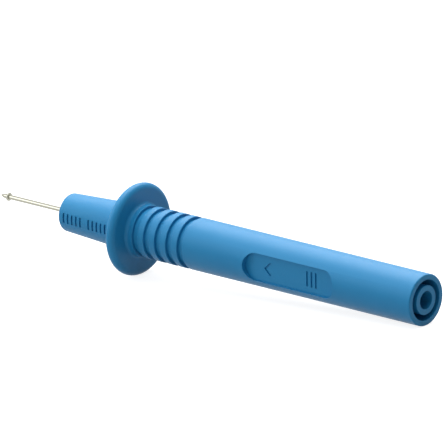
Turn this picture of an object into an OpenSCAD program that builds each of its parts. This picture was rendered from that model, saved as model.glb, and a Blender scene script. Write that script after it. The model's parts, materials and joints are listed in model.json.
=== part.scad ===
// Hand-held test probe with a fine needle and a shrouded 4 mm safety socket.
//
// The probe is a stack of revolved forms on one axis. Profiles are drawn as half
// sections: x is the radius, y the distance from the rear face towards the point.
// The probe lies on a table as it comes to rest, on the guard's rim and the rear
// edge, with its point towards -X and its recess facing -Y. The origin is the
// centre of the socket's mouth.

/* [Handle] */
// Length of the moulded handle, from its rear face to the front of the nose
handle_l = 97.9; // [92:0.1:110]
// Diameter of the barrel
barrel_d = 11.3; // [10.8:0.1:13]
// Rounding of the barrel's rear edge
rear_edge_r = 0.3; // [0.1:0.05:0.5]

/* [Finger guard] */
// Diameter of the guard's rim
guard_d = 20.2; // [17:0.1:26]
// Thickness of the guard, whose rim is fully rounded
guard_t = 2.4; // [1.6:0.1:3]
// Distance from the rear face to the guard's rear side
guard_reach = 77.8; // [74:0.1:84]
// Fillet between the guard and the barrel
guard_fillet = 0.7; // [0.4:0.1:1.2]

/* [Nose] */
// Diameter of the nose where it leaves the guard
nose_base_d = 10.25; // [9:0.05:12]
// Diameter of the nose at its front face
nose_front_d = 8.3; // [6.4:0.05:8.8]
// Rounding of the front edge
nose_edge_r = 0.45; // [0.1:0.05:0.8]
// Fillet between the nose and the guard
nose_fillet = 0.8; // [0.3:0.1:1.5]

/* [Grip grooves] */
// Number of ring grooves behind the guard
groove_count = 5; // [3:1:5]
// Distance from one groove to the next
groove_pitch = 3.1; // [2.4:0.1:3.3]
// Width of a groove
groove_w = 1.5; // [0.6:0.1:1.7]
// Depth of a groove
groove_depth = 0.65; // [0.3:0.05:1]
// Rounding of the edges between groove and land
land_edge_r = 0.1; // [0.05:0.05:0.25]
// Land between the guard's rear side and the first groove
first_land = 1.65; // [1.5:0.05:2.6]

/* [Recess] */
// Length of the recess, over its round ends
recess_l = 24.8; // [16:0.2:26]
// Height of the recess
recess_w = 6.2; // [4:0.1:7]
// Depth of its flat floor below the top of the barrel's curve
recess_depth = 1.4; // [0.8:0.1:1.5]
// Plastic left between the bottom of the socket's shroud and the recess
recess_wall = 1.5; // [1:0.1:3]

/* [Safety socket] */
// Bore that takes the plug's pin
bore_d = 4; // [3.9:0.05:4.1]
// Depth of the bore, measured from the rear face
bore_depth = 21; // [18:0.5:23]
// How far the metal contact is set back behind the rear face
contact_setback = 3; // [2:0.5:5]
// Outer diameter of the inner insulating tube
tube_d = 6.4; // [6.2:0.1:6.8]
// Inner diameter of the outer shroud
shroud_d = 8.9; // [8.7:0.1:9]
// Depth of the ring gap between tube and shroud, which takes the plug's sleeve
shroud_depth = 19.4; // [16:0.1:21]
// Rounding of the edges at the ring gap's mouth
mouth_edge_r = 0.1; // [0.05:0.05:0.15]

/* [Contact] */
// Diameter of the contact where it holds the bore
head_d = 5.2; // [5:0.1:5.6]
// Solid metal behind the point of the bore
head_floor = 1; // [0.5:0.5:3]
// Diameter of the solid rod
rod_d = 4; // [3.4:0.1:4.6]
// Distance from the rear face to the front end of the rod
rod_reach = 84; // [80:0.5:86]
// Diameter of the nib that holds the needle
nib_d = 3; // [2.4:0.1:3.2]
// Plastic between the nib and the front of the nose
nib_cover = 4.5; // [3:0.5:6]
// Number of retaining grooves turned in the rod
retainer_count = 3; // [1:1:4]
// Distance from one retaining groove to the next
retainer_pitch = 4; // [3:0.5:5]
// Width of a retaining groove
retainer_w = 1.6; // [1:0.1:2]
// Depth of a retaining groove
retainer_depth = 0.5; // [0.2:0.1:0.8]
// Distance from the rear face to the first retaining groove
retainer_reach = 50; // [30:1:60]
// Clearance between the plastic and the metal that it is moulded round
mould_gap = 0.02; // [0.01:0.01:0.05]

/* [Needle] */
// Diameter of the needle's shaft
needle_d = 1; // [0.8:0.05:1.3]
// Length of the needle in front of the nose
needle_out = 19.5; // [12:0.1:30]
// Length of the needle held in the nib
needle_grip = 9; // [5:0.5:9.5]
// Length of the ogive point
point_l = 1.6; // [1:0.1:3]
// Cylinder between the collar and the point
point_land = 0.5; // [0.2:0.1:1]
// Diameter of the collar
collar_d = 1.85; // [1.5:0.05:2.2]
// Thickness of the collar, whose rim is fully rounded
collar_t = 0.45; // [0.3:0.05:0.6]

/* [Hidden] */
$fn = 96;

// Colours
plastic_blue = [0.20, 0.50, 0.70];
nickel = [0.78, 0.76, 0.72];
steel = [0.82, 0.81, 0.78];

// Half sections start this far below the face that they cut through
cut = 1;
// Arcs on the nose's taper run this far past their tangent points, to meet it in one clean edge
overlap = 0.001;
// Half of the angle at the bottom of a drilled bore
drill_half_angle = 59;
// Cones that make up the ogive point
point_steps = 8;

barrel_r = barrel_d / 2;
guard_rim_r = guard_t / 2;
guard_mid = guard_reach + guard_rim_r;
guard_front = guard_reach + guard_t;
guard_rim_x = guard_d / 2 - guard_rim_r;
nose_taper = atan((nose_base_d - nose_front_d) / 2 / (handle_l - guard_front));
nose_normal = [cos(nose_taper), sin(nose_taper)];
bore_r = bore_d / 2;
drill_point_l = bore_r / tan(drill_half_angle);
head_end = bore_depth + drill_point_l + head_floor;
nib_end = handle_l - nib_cover;
needle_r = needle_d / 2;
probe_l = handle_l + needle_out;

// The table line touches the rounded rear edge and the guard's rounded rim
rim_rise = guard_rim_x - (barrel_r - rear_edge_r);
rim_run = guard_mid - rear_edge_r;
rest_tilt = atan2(rim_rise, rim_run)
    + asin((guard_rim_r - rear_edge_r) / norm([rim_rise, rim_run]));

// Turns a half section into a solid whose axis runs from the origin towards -X
module revolve() {
    rotate([0, -90, 0])
        rotate_extrude()
            children();
}

// Lays the finished piece on the table as the whole probe lies
module at_rest() {
    rotate([0, rest_tilt, 0])
        children();
}

// Half section of a round bar from one distance to another
module bar(r, from, to) {
    translate([0, from])
        square([r, to - from]);
}

// Half section of the barrel, with its rear edge rounded
module barrel_section() {
    bar(barrel_r - rear_edge_r, 0, guard_mid);
    bar(barrel_r, rear_edge_r, guard_mid);
    translate([barrel_r - rear_edge_r, rear_edge_r])
        circle(rear_edge_r);
}

// Half section of the finger guard: a disc with a fully rounded rim
module guard_section() {
    bar(guard_rim_x, guard_reach, guard_front);
    translate([guard_rim_x, guard_mid])
        circle(guard_rim_r);
}

// Half section of the fillet between the barrel and the guard's rear side
module guard_fillet_section() {
    difference() {
        bar(barrel_r + guard_fillet, guard_reach - guard_fillet, guard_mid);
        translate([barrel_r + guard_fillet, guard_reach - guard_fillet])
            circle(guard_fillet);
    }
}

// Radius of the nose's taper at a distance from the rear face
function nose_r_at(y) = nose_base_d / 2 - (y - guard_front) * tan(nose_taper);

// Half section of the nose: a taper whose front edge is rounded tangent to side and face
module nose_section() {
    edge_y = handle_l - nose_edge_r;
    edge_x = nose_r_at(edge_y) - nose_edge_r / cos(nose_taper);
    polygon([
        [0, guard_mid],
        [nose_r_at(guard_mid), guard_mid],
        [edge_x, edge_y] + (nose_edge_r - overlap) * nose_normal,
        [edge_x, edge_y],
        [edge_x, handle_l],
        [0, handle_l]
    ]);
    translate([edge_x, edge_y])
        circle(nose_edge_r);
}

// Half section of the fillet between the nose's taper and the guard's front side
module nose_fillet_section() {
    centre_y = guard_front + nose_fillet;
    centre_x = nose_r_at(centre_y) + nose_fillet / cos(nose_taper);
    touch = [centre_x, centre_y] - nose_fillet * nose_normal;
    difference() {
        polygon([
            [0, guard_mid],
            [centre_x, guard_mid],
            [centre_x, centre_y],
            touch,
            [0, touch.y]
        ]);
        translate([centre_x, centre_y])
            circle(nose_fillet + overlap);
    }
}

// Half section that cuts one ring groove and rounds the edges of the lands beside it
module groove_cut() {
    bottom = barrel_r - groove_depth;
    translate([bottom, 0])
        square([groove_depth + cut, groove_w]);
    translate([barrel_r, groove_w])
        edge_cut(land_edge_r);
    translate([barrel_r, 0])
        mirror([0, 1])
            edge_cut(land_edge_r);
}

// Half section that rounds an edge: its corner is the origin, its body lies on the left and above
module edge_cut(r) {
    difference() {
        translate([-r, 0])
            square([r + cut, r]);
        translate([-r, r])
            circle(r);
    }
}

// Half sections of all the ring grooves, counted from the guard towards the rear
module grooves_section() {
    for (i = [0 : groove_count - 1])
        translate([0, guard_reach - first_land - groove_w - i * groove_pitch])
            groove_cut();
}

// Half section of the ring gap round the inner tube, with rounded edges at its mouth
module shroud_section() {
    difference() {
        bar(shroud_d / 2, -cut, shroud_depth);
        bar(tube_d / 2, -2 * cut, shroud_depth + cut);
    }
    translate([tube_d / 2, 0])
        edge_cut(mouth_edge_r);
    translate([shroud_d / 2, 0])
        mirror([1, 0])
            edge_cut(mouth_edge_r);
}

// Half section of the contact's outside; grow makes it larger all round
module contact_outline(grow) {
    difference() {
        union() {
            bar(head_d / 2 + grow, contact_setback - grow, head_end + grow);
            bar(rod_d / 2 + grow, contact_setback - grow, rod_reach + grow);
            bar(nib_d / 2 + grow, contact_setback - grow, nib_end + grow);
        }
        for (i = [0 : retainer_count - 1])
            translate([rod_d / 2 - retainer_depth + grow, retainer_reach + i * retainer_pitch + grow])
                square([retainer_depth + cut, retainer_w - 2 * grow]);
    }
}

// Half section of a blind bore with the point that a drill leaves
module bore_section() {
    bar(bore_r, -cut, bore_depth);
    polygon([
        [0, bore_depth],
        [bore_r, bore_depth],
        [0, bore_depth + drill_point_l]
    ]);
}

// The recess: a slot with round ends, cut square to the barrel's side down to a flat floor
module recess() {
    end_r = recess_w / 2;
    from_rear = shroud_depth + recess_wall;
    translate([-from_rear, -(barrel_r - recess_depth), 0])
        rotate([90, 0, 0])
            linear_extrude(recess_depth + cut) {
                translate([-(recess_l - end_r), -end_r])
                    square([recess_l - recess_w, recess_w]);
                for (x = [end_r, recess_l - end_r])
                    translate([-x, 0])
                        circle(end_r);
            }
}

// The moulded handle
module handle() {
    color(plastic_blue)
        at_rest()
            difference() {
                revolve()
                    difference() {
                        union() {
                            barrel_section();
                            guard_section();
                            guard_fillet_section();
                            nose_section();
                            nose_fillet_section();
                        }
                        grooves_section();
                        shroud_section();
                        bar(bore_r, -cut, contact_setback + cut);
                        contact_outline(mould_gap);
                        bar(needle_r + mould_gap, nib_end, handle_l + cut);
                    }
                recess();
            }
}

// The turned contact: socket, rod and nib in one piece
module contact() {
    color(nickel)
        at_rest()
            revolve()
                difference() {
                    contact_outline(0);
                    bore_section();
                    bar(needle_r, nib_end - needle_grip - mould_gap, nib_end + cut);
                }
}

// Radius of the ogive point at a distance from its base
function point_r_at(y) =
    let (ogive_r = (needle_r * needle_r + point_l * point_l) / needle_d)
    needle_r - ogive_r + sqrt(ogive_r * ogive_r - y * y);

// The needle, pressed into the nib
module needle() {
    point_base = probe_l - point_l;
    collar_mid = point_base - point_land - collar_t / 2;
    collar_rim_x = (collar_d - collar_t) / 2;
    color(steel)
        at_rest()
            revolve() {
                polygon([
                    [0, nib_end - needle_grip],
                    [needle_r, nib_end - needle_grip],
                    for (i = [0 : point_steps - 1])
                        let (y = point_l * i / point_steps)
                        [point_r_at(y), point_base + y],
                    [0, probe_l]
                ]);
                bar(collar_rim_x, collar_mid - collar_t / 2, collar_mid + collar_t / 2);
                translate([collar_rim_x, collar_mid])
                    circle(collar_t / 2);
            }
}

handle();
contact();
needle();
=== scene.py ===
"""Looks of the test probe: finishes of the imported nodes, plain marks on the handle, studio and camera."""

import json
import math

import bmesh
import bpy
from mathutils import Matrix, Vector
from mathutils.interpolate import poly_3d_calc

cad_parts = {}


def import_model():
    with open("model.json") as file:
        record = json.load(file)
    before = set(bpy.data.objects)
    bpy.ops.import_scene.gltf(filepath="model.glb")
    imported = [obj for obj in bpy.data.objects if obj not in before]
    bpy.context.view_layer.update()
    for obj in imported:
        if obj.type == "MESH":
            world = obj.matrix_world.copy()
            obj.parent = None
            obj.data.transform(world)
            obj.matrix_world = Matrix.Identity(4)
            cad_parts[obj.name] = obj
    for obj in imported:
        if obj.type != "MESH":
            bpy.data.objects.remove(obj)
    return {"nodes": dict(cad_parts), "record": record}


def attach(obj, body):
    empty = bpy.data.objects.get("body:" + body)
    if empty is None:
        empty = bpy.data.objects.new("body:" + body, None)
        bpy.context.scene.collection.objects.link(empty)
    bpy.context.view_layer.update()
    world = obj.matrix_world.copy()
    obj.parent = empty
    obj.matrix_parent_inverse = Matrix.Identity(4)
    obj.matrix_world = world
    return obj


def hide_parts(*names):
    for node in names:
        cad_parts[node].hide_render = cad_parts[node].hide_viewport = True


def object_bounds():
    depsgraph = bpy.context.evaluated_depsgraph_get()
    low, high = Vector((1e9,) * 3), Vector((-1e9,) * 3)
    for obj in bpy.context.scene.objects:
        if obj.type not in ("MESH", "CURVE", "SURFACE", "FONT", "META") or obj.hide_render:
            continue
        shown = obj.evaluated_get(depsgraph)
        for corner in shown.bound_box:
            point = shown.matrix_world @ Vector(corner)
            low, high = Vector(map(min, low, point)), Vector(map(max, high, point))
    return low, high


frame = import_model()
cad_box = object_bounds()

MM = 0.001
WHITE = (1, 1, 1, 1)

# The view in degrees, turned from straight in front of the recess and raised above the probe's axis
VIEW_AZIMUTH = 40.02
VIEW_ELEVATION = 18.09
VIEW_ROLL = -0.74
# The photograph's frame, and where it shows the middle of the rear face
PHOTO_PX = 444
REAR_PX = (426.1, 300.23)
PX_PER_MM = 4.757
# In millimetres, a lens so long that the probe shows almost without perspective
LENS = 1600
SENSOR = 36
# In metres from the camera
NEAREST_SEEN = 0.1
FARTHEST_SEEN = 20

# The studio, with lengths in metres
WORLD_LIGHT = 0.221
FLOOR_SIZE = 4.0
FLOOR_COLOUR = (0.4, 0.4, 0.4, 1)
FLOOR_LIFT = (0.85, 0.85, 0.85, 1)
FLOOR_ROUGHNESS = 0.9
LAMP_DISTANCE = 1.0
# Each lamp's name, azimuth and elevation in degrees, diameter, power in watts, and what it lights
LAMPS = (
    ("top_lamp", 0, 85, 1.2, 4.5, "all"),
    ("back_lamp", 210, 60, 1.2, 15.1, "matt"),
    ("front_lamp", 300, 38, 1.2, 5.63, "matt"),
    ("glint_lamp", 315, 31, 0.7, 2.3, "bright"),
    ("low_lamp", 0, 16, 0.5, 1.41, "all"),
)

# Plain marks sunk into the handle, in millimetres, placed by their distance from the rear face
STROKE = 0.45
NOSE_FRONT = 97.9
NOSE_LENGTH = 17.7
NOSE_FRONT_RADIUS = 4.15
NOSE_BASE_RADIUS = 5.125
NOSE_BARS = (96.3, 95.1, 93.9, 92.7, 91.5, 89.1, 87.9, 86.7, 85.5, 84.3, 83.1)
NOSE_BAR_HEIGHT = 2.2
NOSE_BAR_DEPTH = 0.42
RECESS_FLOOR = 4.25
RECESS_BARS = (28.93, 27.73, 26.53)
RECESS_BAR_HEIGHT = 3.4
RECESS_MARK_DEPTH = 0.3
CHEVRON_MIDDLE = 39.65
CHEVRON_HEIGHT = 2.8
# How far the cutters reach out of the surface
CUTTER_REACH = 1.0
# Corners nearer than this many metres are the same
SAME_POINT = 1e-7
# The least cosine between a face and the shading that it may keep
SAME_SIDE = 0.9

# Finishes, with the sizes of grains and the depths of bumps in millimetres
PLASTIC_BLUE = (0.0135, 0.205, 0.432, 1)
PLASTIC_DEEPER = (0.0122, 0.197, 0.42, 1)
PLASTIC_SPECULAR = 0.249
PLASTIC_ROUGHNESS = (0.4, 0.44)
CLOUD_SIZE = 6
CLOUD_DETAIL = 3
GLOSS_SIZE = 1.5
GLOSS_DETAIL = 4
GRAIN_SIZE = 0.2
GRAIN_DETAIL = 3
GRAIN_DEPTH = 0.004
NICKEL = (0.58, 0.55, 0.5, 1)
NICKEL_ROUGHNESS = (0.2, 0.32)
STEEL = (0.48, 0.478, 0.405, 1)
STEEL_ROUGHNESS = (0.12, 0.2)
RING_SIZE = 0.04
RING_DETAIL = 2
RING_DEPTH = 0.0006
# How much slower the rings change round the axis than along it
RING_STRETCH = 0.04
# Where the middle of a noise's values lies
NOISE_MIDDLE = (0.3, 0.7)


def mount(name):
    return next(m for m in frame["record"]["mounts"] if m["name"] == name)


def probe_axes():
    """The probe's own axes as a matrix: X to the rear, Y away from the recess, Z up from the barrel."""
    rear = Vector(mount("socket")["axis"]).normalized()
    away = Vector((0, 1, 0))
    above = rear.cross(away)
    axes = Matrix((rear, away, above)).transposed().to_4x4()
    axes.translation = Vector(mount("socket")["pos_m"])
    return axes


def towards(azimuth, elevation):
    """The direction of something seen at that azimuth and elevation, both in degrees."""
    azimuth = math.radians(azimuth)
    elevation = math.radians(elevation)
    level = math.cos(elevation)
    return Vector((math.sin(azimuth) * level, -math.cos(azimuth) * level, math.sin(elevation)))


def camera():
    """A camera at the photograph's angle to the probe, with the rear face where the photograph has it."""
    azimuth = math.radians(VIEW_AZIMUTH)
    roll = math.radians(VIEW_ROLL)
    level = Vector((math.cos(azimuth), math.sin(azimuth), 0))
    back = towards(VIEW_AZIMUTH, VIEW_ELEVATION)
    right = level * math.cos(roll) + back.cross(level) * math.sin(roll)
    up = back.cross(right)
    to_middle_x = (PHOTO_PX / 2 - REAR_PX[0]) / PX_PER_MM * MM
    to_middle_y = (REAR_PX[1] - PHOTO_PX / 2) / PX_PER_MM * MM
    distance = LENS / SENSOR * PHOTO_PX / PX_PER_MM * MM
    turn = Matrix((right, up, back)).transposed().to_4x4()
    turn.translation = right * to_middle_x + up * to_middle_y + back * distance
    data = bpy.data.cameras.new("camera")
    data.lens = LENS
    data.sensor_width = SENSOR
    data.clip_start = NEAREST_SEEN
    data.clip_end = FARTHEST_SEEN
    made = bpy.data.objects.new("camera", data)
    bpy.context.scene.collection.objects.link(made)
    made.matrix_world = probe_axes() @ turn
    bpy.context.scene.camera = made


def new_material(name):
    material = bpy.data.materials.new(name)
    material.use_nodes = True
    tree = material.node_tree
    return material, tree, tree.nodes["Principled BSDF"]


def ray(tree, first, *others):
    """A socket that is 1 for rays of the named kinds of Light Path, and 0 for all others."""
    path = tree.nodes.new("ShaderNodeLightPath")
    total = path.outputs[first]
    for name in others:
        both = tree.nodes.new("ShaderNodeMath")
        both.operation = "MAXIMUM"
        tree.links.new(total, both.inputs[0])
        tree.links.new(path.outputs[name], both.inputs[1])
        total = both.outputs[0]
    return total


def choose(tree, share, usual, special, output):
    """Sends one shader to the output, and another one in its place where the share is 1."""
    mix = tree.nodes.new("ShaderNodeMixShader")
    tree.links.new(share, mix.inputs["Fac"])
    tree.links.new(usual.outputs[0], mix.inputs[1])
    tree.links.new(special.outputs[0], mix.inputs[2])
    tree.links.new(mix.outputs[0], output.inputs["Surface"])


def world():
    """Even light for the object, and plain white for whatever looks at the backdrop."""
    made = bpy.data.worlds.new("studio")
    made.use_nodes = True
    tree = made.node_tree
    light = tree.nodes["Background"]
    light.inputs["Color"].default_value = WHITE
    light.inputs["Strength"].default_value = WORLD_LIGHT
    white = tree.nodes.new("ShaderNodeBackground")
    white.inputs["Color"].default_value = WHITE
    white.inputs["Strength"].default_value = 1
    seen = ray(tree, "Is Camera Ray", "Is Glossy Ray", "Is Transmission Ray")
    choose(tree, seen, light, white, tree.nodes["World Output"])
    bpy.context.scene.world = made


def floor():
    """A pale floor, lifted so that the camera sees it white but for the soft shadow. Gloss sees it white."""
    height = cad_box[0].z
    half = FLOOR_SIZE / 2
    corners = [(x, y, height) for x, y in ((-half, -half), (half, -half), (half, half), (-half, half))]
    mesh = bpy.data.meshes.new("floor")
    mesh.from_pydata(corners, [], [(0, 1, 2, 3)])
    made = bpy.data.objects.new("floor", mesh)
    bpy.context.scene.collection.objects.link(made)
    material, tree, shader = new_material("floor")
    shader.inputs["Base Color"].default_value = FLOOR_COLOUR
    shader.inputs["Roughness"].default_value = FLOOR_ROUGHNESS
    shader.inputs["Specular IOR Level"].default_value = 0
    lift = tree.nodes.new("ShaderNodeEmission")
    lift.inputs["Color"].default_value = FLOOR_LIFT
    tree.links.new(ray(tree, "Is Camera Ray"), lift.inputs["Strength"])
    both = tree.nodes.new("ShaderNodeAddShader")
    tree.links.new(shader.outputs[0], both.inputs[0])
    tree.links.new(lift.outputs[0], both.inputs[1])
    white = tree.nodes.new("ShaderNodeEmission")
    white.inputs["Color"].default_value = WHITE
    seen = ray(tree, "Is Glossy Ray", "Is Transmission Ray")
    choose(tree, seen, both, white, tree.nodes["Material Output"])
    mesh.materials.append(material)
    return made


def group(name, *members):
    made = bpy.data.collections.new(name)
    for member in members:
        made.objects.link(member)
    return made


def lamp(name, azimuth, elevation, size, power, lit):
    """A round soft lamp that looks at the middle of the probe. It lights a collection, or all for None."""
    direction = towards(azimuth, elevation)
    data = bpy.data.lights.new(name, "AREA")
    data.shape = "DISK"
    data.size = size
    data.energy = power
    made = bpy.data.objects.new(name, data)
    bpy.context.scene.collection.objects.link(made)
    made.location = (cad_box[0] + cad_box[1]) / 2 + direction * LAMP_DISTANCE
    made.rotation_euler = direction.to_track_quat("Z", "Y").to_euler()
    made.light_linking.receiver_collection = lit


def noise(tree, place, size, detail):
    """Noise with grains of that size, between 0 and 1."""
    made = tree.nodes.new("ShaderNodeTexNoise")
    made.inputs["Scale"].default_value = 1 / (size * MM)
    made.inputs["Detail"].default_value = detail
    tree.links.new(place, made.inputs["Vector"])
    return made.outputs["Fac"]


def spread(tree, value, low, high):
    """Noise stretched from its middle values to the range between low and high."""
    made = tree.nodes.new("ShaderNodeMapRange")
    made.inputs["From Min"].default_value = NOISE_MIDDLE[0]
    made.inputs["From Max"].default_value = NOISE_MIDDLE[1]
    made.inputs["To Min"].default_value = low
    made.inputs["To Max"].default_value = high
    tree.links.new(value, made.inputs["Value"])
    return made.outputs["Result"]


def raise_surface(tree, shader, height, depth):
    bump = tree.nodes.new("ShaderNodeBump")
    bump.inputs["Distance"].default_value = depth * MM
    tree.links.new(height, bump.inputs["Height"])
    tree.links.new(bump.outputs["Normal"], shader.inputs["Normal"])


def along_probe(tree):
    """Coordinates in metres on the probe's own axes."""
    place = tree.nodes.new("ShaderNodeTexCoord")
    turn = tree.nodes.new("ShaderNodeMapping")
    turn.inputs["Rotation"].default_value = probe_axes().inverted().to_euler()
    tree.links.new(place.outputs["Object"], turn.inputs["Vector"])
    return turn.outputs["Vector"]


def blue_plastic():
    """Satin polyamide: the fine grain of a spark-eroded mould, and faint clouds of gloss and colour."""
    material, tree, shader = new_material("blue_plastic")
    place = along_probe(tree)
    clouds = noise(tree, place, CLOUD_SIZE, CLOUD_DETAIL)
    colour = tree.nodes.new("ShaderNodeMix")
    colour.data_type = "RGBA"
    colour.inputs["A"].default_value = PLASTIC_BLUE
    colour.inputs["B"].default_value = PLASTIC_DEEPER
    tree.links.new(spread(tree, clouds, 0, 1), colour.inputs["Factor"])
    tree.links.new(colour.outputs["Result"], shader.inputs["Base Color"])
    gloss = noise(tree, place, GLOSS_SIZE, GLOSS_DETAIL)
    tree.links.new(spread(tree, gloss, *PLASTIC_ROUGHNESS), shader.inputs["Roughness"])
    shader.inputs["Specular IOR Level"].default_value = PLASTIC_SPECULAR
    raise_surface(tree, shader, noise(tree, place, GRAIN_SIZE, GRAIN_DETAIL), GRAIN_DEPTH)
    return material


def turned_metal(name, colour, roughness):
    """Metal from the lathe: fine rings round the probe's axis, uneven in gloss."""
    material, tree, shader = new_material(name)
    stretch = tree.nodes.new("ShaderNodeVectorMath")
    stretch.operation = "MULTIPLY"
    stretch.inputs[1].default_value = (1, RING_STRETCH, RING_STRETCH)
    tree.links.new(along_probe(tree), stretch.inputs[0])
    rings = noise(tree, stretch.outputs[0], RING_SIZE, RING_DETAIL)
    shader.inputs["Base Color"].default_value = colour
    shader.inputs["Metallic"].default_value = 1
    tree.links.new(spread(tree, rings, *roughness), shader.inputs["Roughness"])
    raise_surface(tree, shader, rings, RING_DEPTH)
    return material


def dress(piece, material):
    piece.data.materials.clear()
    piece.data.materials.append(material)


def bar(middle, height):
    """The outline of an upright bar, as distances from the rear face and heights."""
    left = middle - STROKE / 2
    right = middle + STROKE / 2
    low = -height / 2
    high = height / 2
    return [(left, low), (right, low), (right, high), (left, high)]


def chevron(middle, height):
    """The outline of a chevron that points to the needle."""
    reach = height / 2
    thick = STROKE * math.sqrt(2)
    front = middle + (reach + thick) / 2
    outer = [(front, 0), (front - reach, reach)]
    inner = [(front - reach - thick, reach), (front - thick, 0), (front - reach - thick, -reach)]
    return outer + inner + [(front - reach, -reach)]


def add_prism(mesh, outline, surface, depth):
    """A solid on that outline, from the pocket's floor to clear of the surface it is sunk into."""
    ends = []
    for height in (surface - depth, surface + CUTTER_REACH):
        ends.append([mesh.verts.new((-t * MM, -height * MM, z * MM)) for t, z in outline])
    low, high = ends
    mesh.faces.new(low)
    mesh.faces.new(high)
    for here in range(len(outline)):
        after = (here + 1) % len(outline)
        mesh.faces.new((low[here], low[after], high[after], high[here]))


def new_object(name, mesh):
    data = bpy.data.meshes.new(name)
    mesh.to_mesh(data)
    mesh.free()
    made = bpy.data.objects.new(name, data)
    bpy.context.scene.collection.objects.link(made)
    return made


def marks():
    """All the pockets as one object of separate prisms."""
    mesh = bmesh.new()
    for middle in NOSE_BARS:
        share = (NOSE_FRONT - middle) / NOSE_LENGTH
        surface = NOSE_FRONT_RADIUS + (NOSE_BASE_RADIUS - NOSE_FRONT_RADIUS) * share
        add_prism(mesh, bar(middle, NOSE_BAR_HEIGHT), surface, NOSE_BAR_DEPTH)
    for middle in RECESS_BARS:
        add_prism(mesh, bar(middle, RECESS_BAR_HEIGHT), RECESS_FLOOR, RECESS_MARK_DEPTH)
    add_prism(mesh, chevron(CHEVRON_MIDDLE, CHEVRON_HEIGHT), RECESS_FLOOR, RECESS_MARK_DEPTH)
    mesh.transform(probe_axes())
    bmesh.ops.recalc_face_normals(mesh, faces=mesh.faces)
    return new_object("marks", mesh)


def place_key(point):
    return tuple(round(c / SAME_POINT) for c in point)


def keep_normals(mesh, source):
    """Gives the mesh the source object's shading wherever its faces still lie on the source's."""
    data = source.data
    shading = [normal.vector.copy() for normal in data.corner_normals]
    known = {}
    for loop in data.loops:
        key = place_key(data.vertices[loop.vertex_index].co)
        known.setdefault(key, []).append(shading[loop.index])
    normals = []
    for face in mesh.polygons:
        for index in face.vertices:
            point = mesh.vertices[index].co
            found = known.get(place_key(point))
            if found is None:
                there = data.polygons[source.closest_point_on_mesh(point)[3]]
                weights = poly_3d_calc([data.vertices[v].co for v in there.vertices], point)
                parts = [shading[c] * w for c, w in zip(there.loop_indices, weights)]
                found = [sum(parts, Vector()).normalized()]
            best = max(found, key=face.normal.dot)
            normals.append(best if best.dot(face.normal) > SAME_SIDE else face.normal.copy())
    mesh.shade_smooth()
    mesh.normals_split_custom_set(normals)


def marked_handle():
    """The handle with the marks sunk into it, which stands for the node."""
    node = frame["nodes"]["handle"]
    mesh = bmesh.new()
    mesh.from_mesh(node.data)
    bmesh.ops.remove_doubles(mesh, verts=mesh.verts, dist=SAME_POINT)
    made = new_object("handle_body", mesh)
    cutter = marks()
    cut = made.modifiers.new("marks", "BOOLEAN")
    cut.operation = "DIFFERENCE"
    cut.solver = "EXACT"
    cut.object = cutter
    shape = bpy.data.meshes.new_from_object(made.evaluated_get(bpy.context.evaluated_depsgraph_get()))
    made.modifiers.clear()
    made.data = shape
    bpy.data.objects.remove(cutter)
    keep_normals(shape, node)
    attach(made, "root")
    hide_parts("handle")
    return made


camera()
world()
ground = floor()
handle = marked_handle()
contact = frame["nodes"]["contact"]
needle = frame["nodes"]["needle"]
lit_by = {
    "all": None,
    "matt": group("matt", handle, ground),
    "bright": group("bright", contact, needle),
}
for name, azimuth, elevation, size, power, lit in LAMPS:
    lamp(name, azimuth, elevation, size, power, lit_by[lit])
dress(handle, blue_plastic())
dress(contact, turned_metal("nickel", NICKEL, NICKEL_ROUGHNESS))
dress(needle, turned_metal("steel", STEEL, STEEL_ROUGHNESS))

bpy.context.scene.view_settings.view_transform = "Standard"
